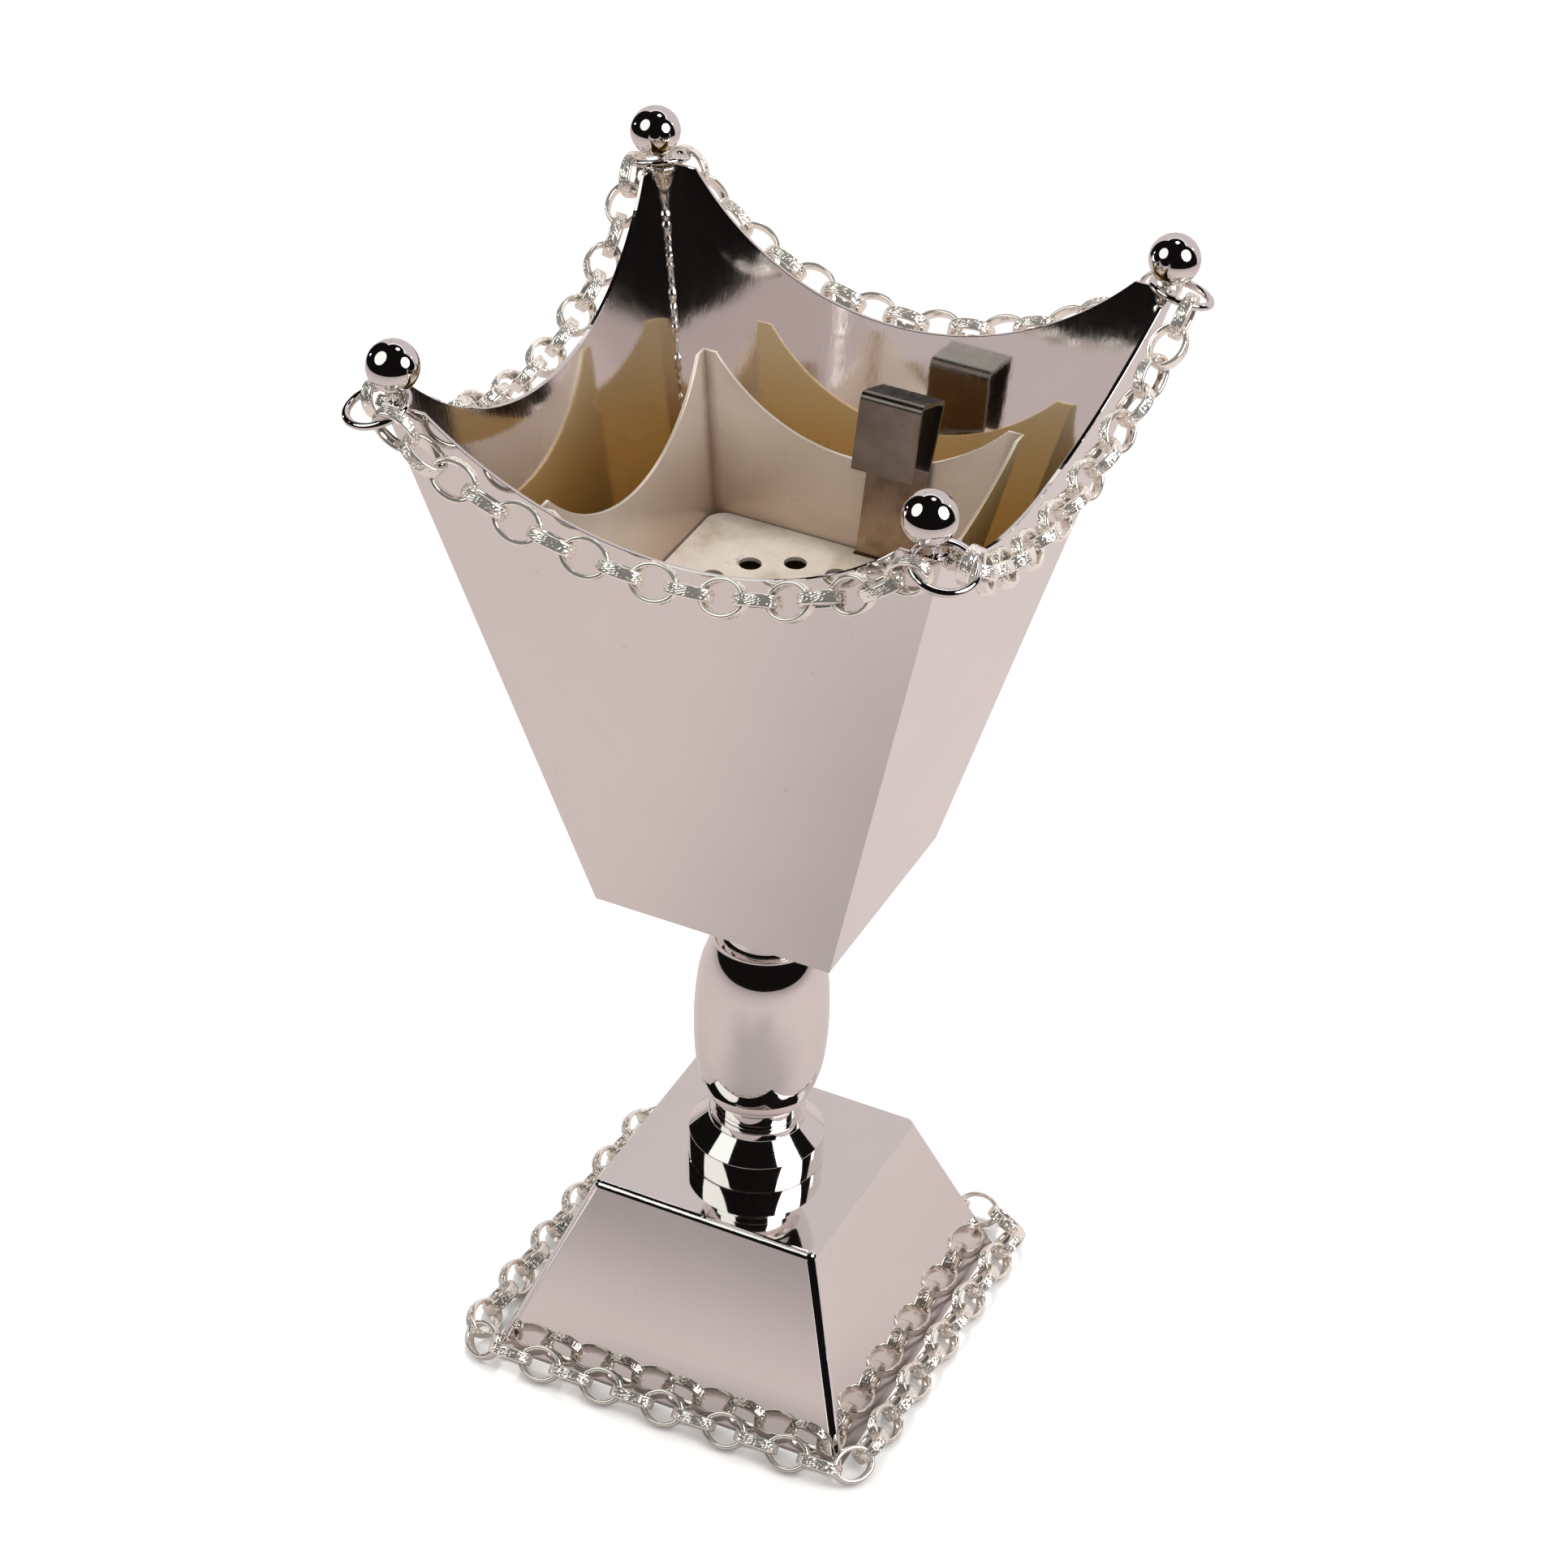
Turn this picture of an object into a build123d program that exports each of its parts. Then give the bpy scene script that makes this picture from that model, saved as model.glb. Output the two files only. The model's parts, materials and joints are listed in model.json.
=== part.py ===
"""Table incense burner (mabkhara): a crown-shaped bowl of four flared panels on a turned
column and a hollow pyramid base, with ball finials, hanging chain swags, a loose chain
round the foot, a lift-out liner and a perforated charcoal plate with its lifting handle.

Frame: millimetres, +Z up, origin at the centre of the base's footprint on the table.
Sides: front is -Y, right is +X, back is +Y, left is -X.
"""

import os
from math import cos, degrees, pi, radians, sin, sqrt

from build123d import *

os.makedirs("parts", exist_ok=True)

# ---- base -------------------------------------------------------------------------
base_height = 48.9
base_bottom_half = 49.2
base_top_half = 30.7
base_sheet = 1.0
base_edge_radius = 2.0

# ---- column -----------------------------------------------------------------------
collar_radius = 17.4
collar_height = 8.0
shoulder_height = 4.8
ring_radius = 12.4
ring_height = 2.2
neck_radius = 10.9
neck_height = 5.2
bulb_height = 49.3
bulb_radius = 17.1
bulb_shoulder_radius = 16.5
bulb_end_radius = 12.6
bulb_end_reach = 13.0
bulb_bead_height = 0.4
rod_radius = 3.0
rod_clearance = 0.15
rod_overhang = 2.0
rod_chamfer = 0.5
washer_radius = 8.0
washer_height = 1.2
nut_across_flats = 10.0
nut_height = 5.0

# ---- bowl: four flared panels on a square floor -------------------------------------
bowl_bottom_half = 31.3
bowl_height = 146.6
bowl_flare = 0.247
bowl_rim_dip = 24.8
bowl_rim_radius = 78.5
bowl_sheet = 1.0
panel_overrun = 5.0
seam_leg = 1.7
seam_tail_leg = 1.0
seam_length = 58.0
plug_leg = 4.6
plug_height = 8.0
plug_drop = 0.6

# ---- finials ------------------------------------------------------------------------
post_inset = 2.3
post_radius = 1.2
post_depth = 0.2
ball_radius = 6.15
ball_rise = 8.8
ball_bore_depth = 2.6
ball_lean = {
    "front_right": (-1.8, -0.8),
    "back_right": (1.5, 0.6),
    "back_left": (-2.0, -0.9),
    "front_left": (-0.6, -0.3),
}
corner_ring_radius = 7.2
corner_ring_wire = 1.0
corner_ring_tilt = 18.0
corner_ring_gap = 0.6
corner_ring_seat = 0.5

# ---- chain --------------------------------------------------------------------------
link_length = 12.0
link_width = 9.4
link_band = 3.0
link_sheet = 1.2
swag_link_pitch = 8.5
swag_end_angle = 42.58403
swag_outset = 4.2
swag_lean = 11.3
swag_twist = 45.0
swag_twist_links = 3
swag_end_inset = 5.6
swag_end_drop = 2.8
swag_end_slack = 0.3
swag_pivot_reach = 6.0
swag_pivot_inset = 0.6
base_chain_links = 48
base_chain_half = 54.3
base_chain_corner = 8.0
base_chain_tilt = 45.0
floor_clearance = 0.05

# ---- liner and charcoal plate --------------------------------------------------------
liner_height = 112.6
liner_top_half = 42.1
liner_flare = 0.20
liner_rim_dip = 16.7
liner_rim_radius = 52.0
liner_sheet = 0.8
liner_floor_rise = 10.0
plate_height = 73.4
plate_sheet = 1.0
plate_clearance = 0.3
plate_corner_radius = 5.0
plate_hole_radius = 2.8
plate_hole_circle = 21.0
plate_hole_count = 12
handle_width = 15.7
handle_sheet = 1.0
handle_offset = 12.9
handle_foot = 12.0
handle_wall_gap = 0.9
handle_rise = 16.0
handle_bend_rise = 2.5
handle_kick = 7.0
handle_hook_depth = 13.6
handle_hook_lift = 4.9
handle_flap = 18.6
handle_bend = 1.4
notch_clearance = 0.4
notch_overrun = 1.0

# ---- derived heights -----------------------------------------------------------------
column_bottom = base_height
neck_lower_bottom = column_bottom + collar_height + shoulder_height + ring_height
bulb_bottom = neck_lower_bottom + neck_height
bulb_top = bulb_bottom + bulb_height
head_bottom = bulb_top + neck_height
bowl_bottom = head_bottom + ring_height + shoulder_height + collar_height
bowl_top = bowl_bottom + bowl_height
liner_bottom = bowl_bottom + bowl_sheet
liner_top = liner_bottom + liner_height
plate_bottom = liner_bottom + plate_height

sides = {"front": 0, "right": 90, "back": 180, "left": 270}
corners = {"front_right": (1, -1), "back_right": (1, 1), "back_left": (-1, 1), "front_left": (-1, -1)}


def export(part, name):
    """Label one finished piece and write it as its own file."""
    part.label = name
    export_step(part, f"parts/{name}.step")


def bowl_half(z):
    """Half-side of the bowl's outer face at height z."""
    return bowl_bottom_half + bowl_flare * (z - bowl_bottom)


def liner_half(z):
    """Half-side of the liner's outer face at height z."""
    return liner_top_half - liner_flare * (liner_top - z)


def base_half(z):
    """Half-side of the base's outer face at height z."""
    return base_bottom_half + (base_top_half - base_bottom_half) * z / base_height


def level_wall(sheet, flare):
    """Thickness that a sloping sheet shows in a level cut."""
    return sheet * sqrt(1 + flare**2)


def side_planes(angle):
    """The elevation plane that faces a side, and the section plane across it."""
    turn = radians(angle)
    outward = (sin(turn), -cos(turn), 0)
    along = (cos(turn), sin(turn), 0)
    elevation = Plane(origin=(0, 0, 0), x_dir=along, z_dir=outward)
    section = Plane(origin=(0, 0, 0), x_dir=outward, z_dir=(-along[0], -along[1], 0))
    return elevation, section


def crown_panel(angle, half_at, flare, bottom, top, sheet, rim_dip, rim_radius):
    """One flared panel: a sloping sheet, mitred at both edges, with a dipped rim."""
    elevation, section = side_planes(angle)
    wall = level_wall(sheet, flare)
    reach = half_at(top) + panel_overrun
    dip = top - rim_dip
    dip_half = sqrt(rim_radius**2 - (rim_radius - rim_dip) ** 2)
    with BuildPart() as panel:
        with BuildSketch(section):
            with BuildLine():
                Polyline(
                    (half_at(bottom), bottom),
                    (half_at(top), top),
                    (half_at(top) - wall, top),
                    (half_at(bottom) - wall, bottom),
                    close=True,
                )
            make_face()
        extrude(amount=reach, both=True)
        with BuildSketch(Plane.XY.offset(bottom)):
            with BuildLine():
                tip = reach * sqrt(2)
                Polyline(
                    (0, 0),
                    (tip * cos(radians(angle - 135)), tip * sin(radians(angle - 135))),
                    (tip * cos(radians(angle - 45)), tip * sin(radians(angle - 45))),
                    close=True,
                )
            make_face()
        extrude(amount=top - bottom, mode=Mode.INTERSECT)
        with BuildSketch(elevation):
            with BuildLine():
                rim = ThreePointArc((-dip_half, top), (0, dip), (dip_half, top))
                Line(rim @ 1, rim @ 0)
            make_face()
        extrude(amount=reach, mode=Mode.SUBTRACT)
    return panel.part


def turned(outline_points, bore):
    """A turned piece from straight outline points (radius, height), bored for the rod."""
    low = outline_points[0][1]
    high = outline_points[-1][1]
    with BuildPart() as piece:
        with BuildSketch(Plane.XZ):
            with BuildLine():
                Polyline((bore, low), *outline_points, (bore, high), close=True)
            make_face()
        revolve(axis=Axis.Z)
    return piece.part


def oval_link():
    """One oval band link, centred, with its hole along Z and its length along X."""
    with BuildPart() as link:
        with BuildSketch():
            SlotOverall(link_length, link_width)
            SlotOverall(link_length - 2 * link_sheet, link_width - 2 * link_sheet, mode=Mode.SUBTRACT)
        extrude(amount=link_band / 2, both=True)
    return link.part


# ---- base ----------------------------------------------------------------------------
base_slope = (base_bottom_half - base_top_half) / base_height
base_wall = level_wall(base_sheet, base_slope)
base_ceiling = base_height - base_sheet
rod_hole = rod_radius + rod_clearance

with BuildPart() as base_shell:
    with BuildSketch():
        RectangleRounded(2 * base_bottom_half, 2 * base_bottom_half, base_edge_radius)
    with BuildSketch(Plane.XY.offset(base_height)):
        RectangleRounded(2 * base_top_half, 2 * base_top_half, base_edge_radius)
    loft()
    fillet(base_shell.faces().sort_by(Axis.Z)[-1].edges(), base_edge_radius)
    inner_bottom = base_half(0) - base_wall
    inner_top = base_half(base_ceiling) - base_wall
    with BuildSketch():
        RectangleRounded(2 * inner_bottom, 2 * inner_bottom, base_edge_radius)
    with BuildSketch(Plane.XY.offset(base_ceiling)):
        RectangleRounded(2 * inner_top, 2 * inner_top, base_edge_radius)
    loft(mode=Mode.SUBTRACT)
    with Locations((0, 0, base_height)):
        Hole(rod_hole)
export(base_shell.part, "base_shell")

# ---- column --------------------------------------------------------------------------
shoulder_bottom = column_bottom + collar_height
ring_bottom = shoulder_bottom + shoulder_height
foot_outline = [
    (collar_radius, column_bottom),
    (collar_radius, shoulder_bottom),
    (ring_radius, ring_bottom),
    (ring_radius, neck_lower_bottom),
]
export(turned(foot_outline, rod_hole), "column_foot")

neck_lower = [(neck_radius, neck_lower_bottom), (neck_radius, bulb_bottom)]
export(turned(neck_lower, rod_hole), "column_neck_lower")

with BuildPart() as column_bulb:
    bulb_middle = (bulb_bottom + bulb_top) / 2
    bead_low = bulb_bottom + bulb_bead_height
    bead_high = bulb_top - bulb_bead_height
    with BuildSketch(Plane.XZ):
        with BuildLine():
            belly = ThreePointArc(
                (bulb_shoulder_radius, bulb_bottom + bulb_end_reach),
                (bulb_radius, bulb_middle),
                (bulb_shoulder_radius, bulb_top - bulb_end_reach),
            )
            upper = TangentArc(belly @ 1, (bulb_end_radius, bead_high), tangent=belly % 1)
            lower = TangentArc(belly @ 0, (bulb_end_radius, bead_low), tangent=-(belly % 0))
            Polyline(upper @ 1, (bulb_end_radius, bulb_top), (rod_hole, bulb_top))
            Line((rod_hole, bulb_top), (rod_hole, bulb_bottom))
            Polyline((rod_hole, bulb_bottom), (bulb_end_radius, bulb_bottom), lower @ 1)
        make_face()
    revolve(axis=Axis.Z)
export(column_bulb.part, "column_bulb")

neck_upper = [(neck_radius, bulb_top), (neck_radius, head_bottom)]
export(turned(neck_upper, rod_hole), "column_neck_upper")

head_outline = [
    (ring_radius, head_bottom),
    (ring_radius, head_bottom + ring_height),
    (collar_radius, head_bottom + ring_height + shoulder_height),
    (collar_radius, bowl_bottom),
]
export(turned(head_outline, rod_hole), "column_head")

# ---- the rod that ties base, column and bowl together -----------------------------------
lower_nut_bottom = base_ceiling - washer_height - nut_height
upper_nut_bottom = bowl_bottom + bowl_sheet + washer_height
rod_bottom = lower_nut_bottom - rod_overhang
rod_top = upper_nut_bottom + nut_height + rod_overhang

with BuildPart() as tie_rod:
    with BuildSketch(Plane.XY.offset(rod_bottom)):
        Circle(rod_radius)
    extrude(amount=rod_top - rod_bottom)
    chamfer(tie_rod.edges().filter_by(GeomType.CIRCLE), rod_chamfer)
export(tie_rod.part, "tie_rod")

for name, height in (("base_washer", base_ceiling - washer_height), ("bowl_washer", bowl_bottom + bowl_sheet)):
    with BuildPart() as washer:
        with BuildSketch(Plane.XY.offset(height)):
            Circle(washer_radius)
            Circle(rod_hole, mode=Mode.SUBTRACT)
        extrude(amount=washer_height)
    export(washer.part, name)

for name, height in (("base_nut", lower_nut_bottom), ("bowl_nut", upper_nut_bottom)):
    with BuildPart() as nut:
        with BuildSketch(Plane.XY.offset(height)):
            RegularPolygon(nut_across_flats / 2, 6, major_radius=False)
            Circle(rod_radius, mode=Mode.SUBTRACT)
        extrude(amount=nut_height)
    export(nut.part, name)

# ---- bowl ----------------------------------------------------------------------------
bowl_wall = level_wall(bowl_sheet, bowl_flare)


def bowl_inner_half(z):
    """Half-side of the bowl's inner face at height z."""
    return bowl_half(z) - bowl_wall


with BuildPart() as bowl_floor:
    for height in (bowl_bottom, bowl_bottom + bowl_sheet):
        with BuildSketch(Plane.XY.offset(height)):
            Rectangle(2 * bowl_inner_half(height), 2 * bowl_inner_half(height))
    loft()
    with Locations((0, 0, bowl_bottom + bowl_sheet)):
        Hole(rod_hole)
export(bowl_floor.part, "bowl_floor")

for side, angle in sides.items():
    panel = crown_panel(
        angle, bowl_half, bowl_flare, bowl_bottom, bowl_top, bowl_sheet, bowl_rim_dip, bowl_rim_radius
    )
    export(panel, f"bowl_panel_{side}")

# ---- finials: a stud in each corner, a ball on it, and a ring round it -------------------
post_place = bowl_half(bowl_top) - post_inset
post_bottom = bowl_top - post_depth
ball_seat = ball_rise - sqrt(ball_radius**2 - post_radius**2)

for corner, (sx, sy) in corners.items():
    lean_x, lean_y = ball_lean[corner]
    root = Vector(sx * post_place, sy * post_place, bowl_top)
    axis = Vector(lean_x, lean_y, ball_rise).normalized()

    with BuildPart() as post:
        with BuildSketch(Plane(origin=root - axis * post_depth, z_dir=axis)):
            Circle(post_radius)
        extrude(amount=post_depth + ball_seat + ball_bore_depth)
    export(post.part, f"finial_post_{corner}")

    centre_height = Vector(lean_x, lean_y, ball_rise).length
    seat_height = centre_height - sqrt(ball_radius**2 - post_radius**2)
    bore_top = seat_height + ball_bore_depth
    sideways = axis.cross(Vector(0, 1, 0)).normalized()
    with BuildPart() as ball:
        with BuildSketch(Plane(origin=root, x_dir=axis.cross(sideways), z_dir=sideways)) as half_disc:
            with BuildLine():
                Polyline((0, centre_height + ball_radius), (0, bore_top), (post_radius, bore_top))
                Line((post_radius, bore_top), (post_radius, seat_height))
                ThreePointArc(
                    (post_radius, seat_height), (ball_radius, centre_height), (0, centre_height + ball_radius)
                )
            make_face()
        revolve(axis=Axis(root, axis))
    export(ball.part, f"finial_ball_{corner}")

    with BuildPart() as solder:
        for height, leg in (
            (bowl_top - seam_length, seam_tail_leg),
            (bowl_top - plug_height, seam_leg),
            (bowl_top - plug_drop, plug_leg),
        ):
            edge = bowl_inner_half(height)
            with BuildSketch(Plane.XY.offset(height)):
                with BuildLine():
                    Polyline(
                        (sx * edge, sy * edge),
                        (sx * (edge - leg), sy * edge),
                        (sx * edge, sy * (edge - leg)),
                        close=True,
                    )
                make_face()
        loft(ruled=True)
        add(post.part, mode=Mode.SUBTRACT)
    export(solder.part, f"corner_solder_{corner}")

    ring_offset = corner_ring_radius - corner_ring_wire - post_radius - corner_ring_gap
    ring_place = post_place + ring_offset / sqrt(2)
    tilt = radians(corner_ring_tilt)
    crossing = corner_ring_radius - ring_offset + bowl_wall
    ring_height_inner = bowl_top + corner_ring_wire + corner_ring_seat * crossing * sin(tilt)
    ring_centre = Vector(sx * ring_place, sy * ring_place, ring_height_inner - corner_ring_radius * sin(tilt))
    ring_axis = Vector(sx * sin(tilt) / sqrt(2), sy * sin(tilt) / sqrt(2), cos(tilt))
    with BuildPart() as corner_ring:
        with Locations(Plane(origin=ring_centre, z_dir=ring_axis)):
            Torus(corner_ring_radius, corner_ring_wire)
    export(corner_ring.part, f"corner_ring_{corner}")

# ---- chain swags: a hanging arc of links between neighbouring corner rings ----------------
swag_plane = bowl_half(bowl_top) + swag_outset
swag_half = bowl_half(bowl_top) - swag_end_inset
swag_end = bowl_top - swag_end_drop


# The arc keeps its end angle, and takes the even number of pitches that comes nearest.
swag_angle = radians(swag_end_angle)
swag_radius = swag_half / sin(swag_angle)
swag_links = 1 + 2 * round(swag_radius * swag_angle / swag_link_pitch)
swag_level = radians(swag_lean)


def swag_frame(side, index):
    """Centre, heading and hole axis of one link of a side's swag."""
    elevation, section = side_planes(sides[side])
    outward, along = elevation.z_dir, elevation.x_dir
    face = outward * cos(swag_level) - Vector(0, 0, sin(swag_level))
    down = -outward * sin(swag_level) - Vector(0, 0, cos(swag_level))
    phi = swag_angle * (2 * index / (swag_links - 1) - 1)
    sag = swag_radius * (cos(phi) - cos(swag_angle))
    centre = outward * swag_plane + along * (swag_radius * sin(phi)) + Vector(0, 0, swag_end) + down * sag
    tangent = along * cos(phi) - down * sin(phi)
    if index == 0:
        centre = centre + tangent * swag_end_slack
    if index == swag_links - 1:
        centre = centre - tangent * swag_end_slack
    from_end = min(index, swag_links - 1 - index)
    turn = radians(90 * (from_end % 2) - swag_twist * min(1, from_end / swag_twist_links))
    hole_axis = face * cos(turn) + tangent.cross(face) * sin(turn)
    return Plane(origin=centre, x_dir=tangent, z_dir=hole_axis)


for side in sides:
    links = [swag_frame(side, index) * oval_link() for index in range(1, swag_links - 1)]
    export(Compound(children=links), f"chain_swag_{side}")

# The first and last link of each swag stay on the corner rings: two at each corner.
corner_neighbours = {
    "front_right": ("front", "right"),
    "back_right": ("right", "back"),
    "back_left": ("back", "left"),
    "front_left": ("left", "front"),
}
for corner, (arriving, leaving) in corner_neighbours.items():
    links = [swag_frame(arriving, swag_links - 1) * oval_link(), swag_frame(leaving, 0) * oval_link()]
    export(Compound(children=links), f"corner_links_{corner}")

# Where a swag swings from: the hinge line through its two end links, on the front side.
end_link = swag_frame("front", 0)
next_link = swag_frame("front", 1)
pivot = end_link.origin + (next_link.origin - end_link.origin).normalized() * swag_pivot_reach
print(f"swag hinge line: {-pivot.Y - swag_pivot_inset:.3f} mm out from the axis, {pivot.Z:.3f} mm up")

# ---- loose chain lying round the foot of the base ------------------------------------------
corner_arc = base_chain_corner * pi / 2
straight = 2 * (base_chain_half - base_chain_corner)
base_chain_length = 4 * (straight + corner_arc)


def base_chain_point(distance):
    """Position and heading, in plan, along the rounded square that the chain follows."""
    distance = distance % base_chain_length
    leg = int(distance // (straight + corner_arc))
    along = distance - leg * (straight + corner_arc)
    arm = base_chain_half - base_chain_corner
    if along < straight:
        point = Vector(-arm + along, -base_chain_half)
        heading = 0
    else:
        heading = (along - straight) / base_chain_corner
        point = Vector(arm + base_chain_corner * sin(heading), -arm - base_chain_corner * cos(heading))
    quarter = leg * 90
    return point.rotate(Axis.Z, quarter), degrees(heading) + quarter


tilt_cos = cos(radians(base_chain_tilt))
tilt_sin = sin(radians(base_chain_tilt))
base_chain_level = link_width / 2 * tilt_sin + link_band / 2 * tilt_cos + floor_clearance
links = []
for index in range(base_chain_links):
    point, heading = base_chain_point((index + 0.5) * base_chain_length / base_chain_links)
    turn = radians(heading)
    tangent = Vector(cos(turn), sin(turn), 0)
    across = Vector(-sin(turn), cos(turn), 0)
    lean = tilt_sin if index % 2 == 0 else -tilt_sin
    hole_axis = across * lean + Vector(0, 0, tilt_cos)
    centre = Vector(point.X, point.Y, base_chain_level)
    links.append(Plane(origin=centre, x_dir=tangent, z_dir=hole_axis) * oval_link())
export(Compound(children=links), "base_chain")

# ---- liner ---------------------------------------------------------------------------------
liner_wall = level_wall(liner_sheet, liner_flare)


def liner_inner_half(z):
    """Half-side of the liner's inner face at height z."""
    return liner_half(z) - liner_wall


for side, angle in sides.items():
    panel = crown_panel(
        angle, liner_half, liner_flare, liner_bottom, liner_top, liner_sheet, liner_rim_dip, liner_rim_radius
    )
    export(panel, f"liner_panel_{side}")

with BuildPart() as liner_floor:
    floor_bottom = liner_bottom + liner_floor_rise
    for height in (floor_bottom, floor_bottom + liner_sheet):
        with BuildSketch(Plane.XY.offset(height)):
            Rectangle(2 * liner_inner_half(height), 2 * liner_inner_half(height))
    loft()
export(liner_floor.part, "liner_floor")

# ---- charcoal plate and its lifting handle ---------------------------------------------------
plate_half = liner_inner_half(plate_bottom) - plate_clearance
plate_top = plate_bottom + plate_sheet
wall_at_plate = liner_inner_half(plate_top)
strip_line = wall_at_plate - handle_wall_gap - handle_sheet / 2

with BuildPart() as charcoal_plate:
    with BuildSketch(Plane.XY.offset(plate_bottom)):
        RectangleRounded(2 * plate_half, 2 * plate_half, plate_corner_radius)
        with PolarLocations(plate_hole_circle, plate_hole_count, start_angle=180 / plate_hole_count):
            Circle(plate_hole_radius, mode=Mode.SUBTRACT)
        notch_front = strip_line - handle_sheet - notch_clearance
        notch_back = plate_half + notch_overrun
        with Locations((handle_offset, (notch_front + notch_back) / 2)):
            Rectangle(handle_width + 2 * notch_clearance, notch_back - notch_front, mode=Mode.SUBTRACT)
    extrude(amount=plate_sheet)
export(charcoal_plate.part, "charcoal_plate")

foot_level = plate_bottom - handle_sheet / 2
rim_level = liner_top - liner_rim_dip + handle_bend_rise
rim_line = strip_line + liner_flare * (rim_level - plate_top)
top_back = (rim_line + handle_kick, rim_level + handle_rise)
top_front = (top_back[0] - handle_hook_depth, top_back[1] + handle_hook_lift)
flap_end = (top_front[0] - handle_flap * liner_flare, top_front[1] - handle_flap)

with BuildPart() as lift_handle:
    with BuildLine(Plane.YZ.offset(handle_offset)) as strip:
        FilletPolyline(
            (strip_line - handle_foot, foot_level),
            (strip_line, foot_level),
            (rim_line, rim_level),
            top_back,
            top_front,
            flap_end,
            radius=handle_bend,
        )
    with BuildSketch(Plane(origin=strip.line @ 0, x_dir=(1, 0, 0), z_dir=strip.line % 0)):
        Rectangle(handle_width, handle_sheet)
    sweep(path=strip.line)
export(lift_handle.part, "lift_handle")
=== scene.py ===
"""Looks for the table incense burner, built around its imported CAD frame. Lengths are metres."""

import json
import math
import random

import bmesh
import bpy
import numpy as np
from mathutils import Matrix, Vector


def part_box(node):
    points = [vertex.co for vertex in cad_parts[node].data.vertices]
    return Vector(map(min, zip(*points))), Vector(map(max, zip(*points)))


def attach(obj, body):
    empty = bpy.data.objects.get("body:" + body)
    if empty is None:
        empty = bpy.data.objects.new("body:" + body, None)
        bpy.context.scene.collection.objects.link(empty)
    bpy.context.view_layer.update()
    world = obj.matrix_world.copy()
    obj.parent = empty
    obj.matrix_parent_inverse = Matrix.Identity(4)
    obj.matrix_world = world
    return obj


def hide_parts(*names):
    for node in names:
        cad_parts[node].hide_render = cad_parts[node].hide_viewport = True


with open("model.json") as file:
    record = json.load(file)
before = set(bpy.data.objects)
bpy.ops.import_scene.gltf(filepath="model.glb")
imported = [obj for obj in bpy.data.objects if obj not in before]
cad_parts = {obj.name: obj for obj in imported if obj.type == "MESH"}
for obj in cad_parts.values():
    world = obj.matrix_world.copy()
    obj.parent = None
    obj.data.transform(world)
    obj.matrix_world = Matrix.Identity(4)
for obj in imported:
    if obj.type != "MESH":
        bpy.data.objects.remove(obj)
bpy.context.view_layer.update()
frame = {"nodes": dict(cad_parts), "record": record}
nodes = frame["nodes"]
MM = 0.001
SIDES = {"front": (0, -1), "right": (1, 0), "back": (0, 1), "left": (-1, 0)}
CORNERS = {"front_right": (1, -1), "back_right": (1, 1), "back_left": (-1, 1), "front_left": (-1, -1)}
body_of_node = {n: b for b, group in frame["record"]["behaviour"]["bodies"].items() for n in group}


# ---- materials ----------------------------------------------------------------------------
class Shader:
    """A material with its principled shader and a few short ways to add nodes."""

    def __init__(self, name, **values):
        self.mat = bpy.data.materials.new(name)
        self.mat.use_nodes = True
        self.tree = self.mat.node_tree
        self.bsdf = self.tree.nodes["Principled BSDF"]
        for key, value in values.items():
            self.bsdf.inputs[key.replace("_", " ")].default_value = value
        self.place = self.tree.nodes.new("ShaderNodeTexCoord").outputs["Object"]

    def node(self, kind, **settings):
        made = self.tree.nodes.new("ShaderNode" + kind)
        for key, value in settings.items():
            setattr(made, key, value)
        return made

    def link(self, source, target):
        self.tree.links.new(source, target)
        return target

    def mapped(self, scale):
        made = self.node("Mapping")
        made.inputs["Scale"].default_value = scale
        self.link(self.place, made.inputs["Vector"])
        return made.outputs["Vector"]

    def noise(self, scale, detail=4.0, roughness=0.55, vector=None, distortion=0.0):
        made = self.node("TexNoise")
        made.inputs["Scale"].default_value = scale
        made.inputs["Detail"].default_value = detail
        made.inputs["Roughness"].default_value = roughness
        made.inputs["Distortion"].default_value = distortion
        self.link(vector or self.place, made.inputs["Vector"])
        return made.outputs["Fac"]

    def ramp(self, source, *stops):
        made = self.node("ValToRGB")
        while len(made.color_ramp.elements) < len(stops):
            made.color_ramp.elements.new(0.5)
        for element, (at, colour) in zip(made.color_ramp.elements, stops):
            element.position = at
            element.color = (colour, colour, colour, 1) if isinstance(colour, float) else (*colour, 1)
        self.link(source, made.inputs["Fac"])
        return made.outputs["Color"]

    def mix(self, factor, a, b, mode="MIX"):
        made = self.node("MixRGB", blend_type=mode)
        sockets = (made.inputs["Fac"], made.inputs["Color1"], made.inputs["Color2"])
        for socket, value in zip(sockets, (factor, a, b)):
            if isinstance(value, bpy.types.NodeSocket):
                self.link(value, socket)
            elif isinstance(value, (int, float)):
                socket.default_value = value
            else:
                socket.default_value = (*value, 1)
        return made.outputs["Color"]

    def maths(self, operation, a, b=0.0):
        made = self.node("Math", operation=operation)
        for socket, value in zip(made.inputs, (a, b)):
            if isinstance(value, bpy.types.NodeSocket):
                self.link(value, socket)
            else:
                socket.default_value = value
        return made.outputs["Value"]

    def bump(self, height, distance, strength=1.0):
        made = self.node("Bump")
        made.inputs["Distance"].default_value = distance
        made.inputs["Strength"].default_value = strength
        self.link(height, made.inputs["Height"])
        self.link(made.outputs["Normal"], self.bsdf.inputs["Normal"])


SILVER = (0.86, 0.815, 0.80)


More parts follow.
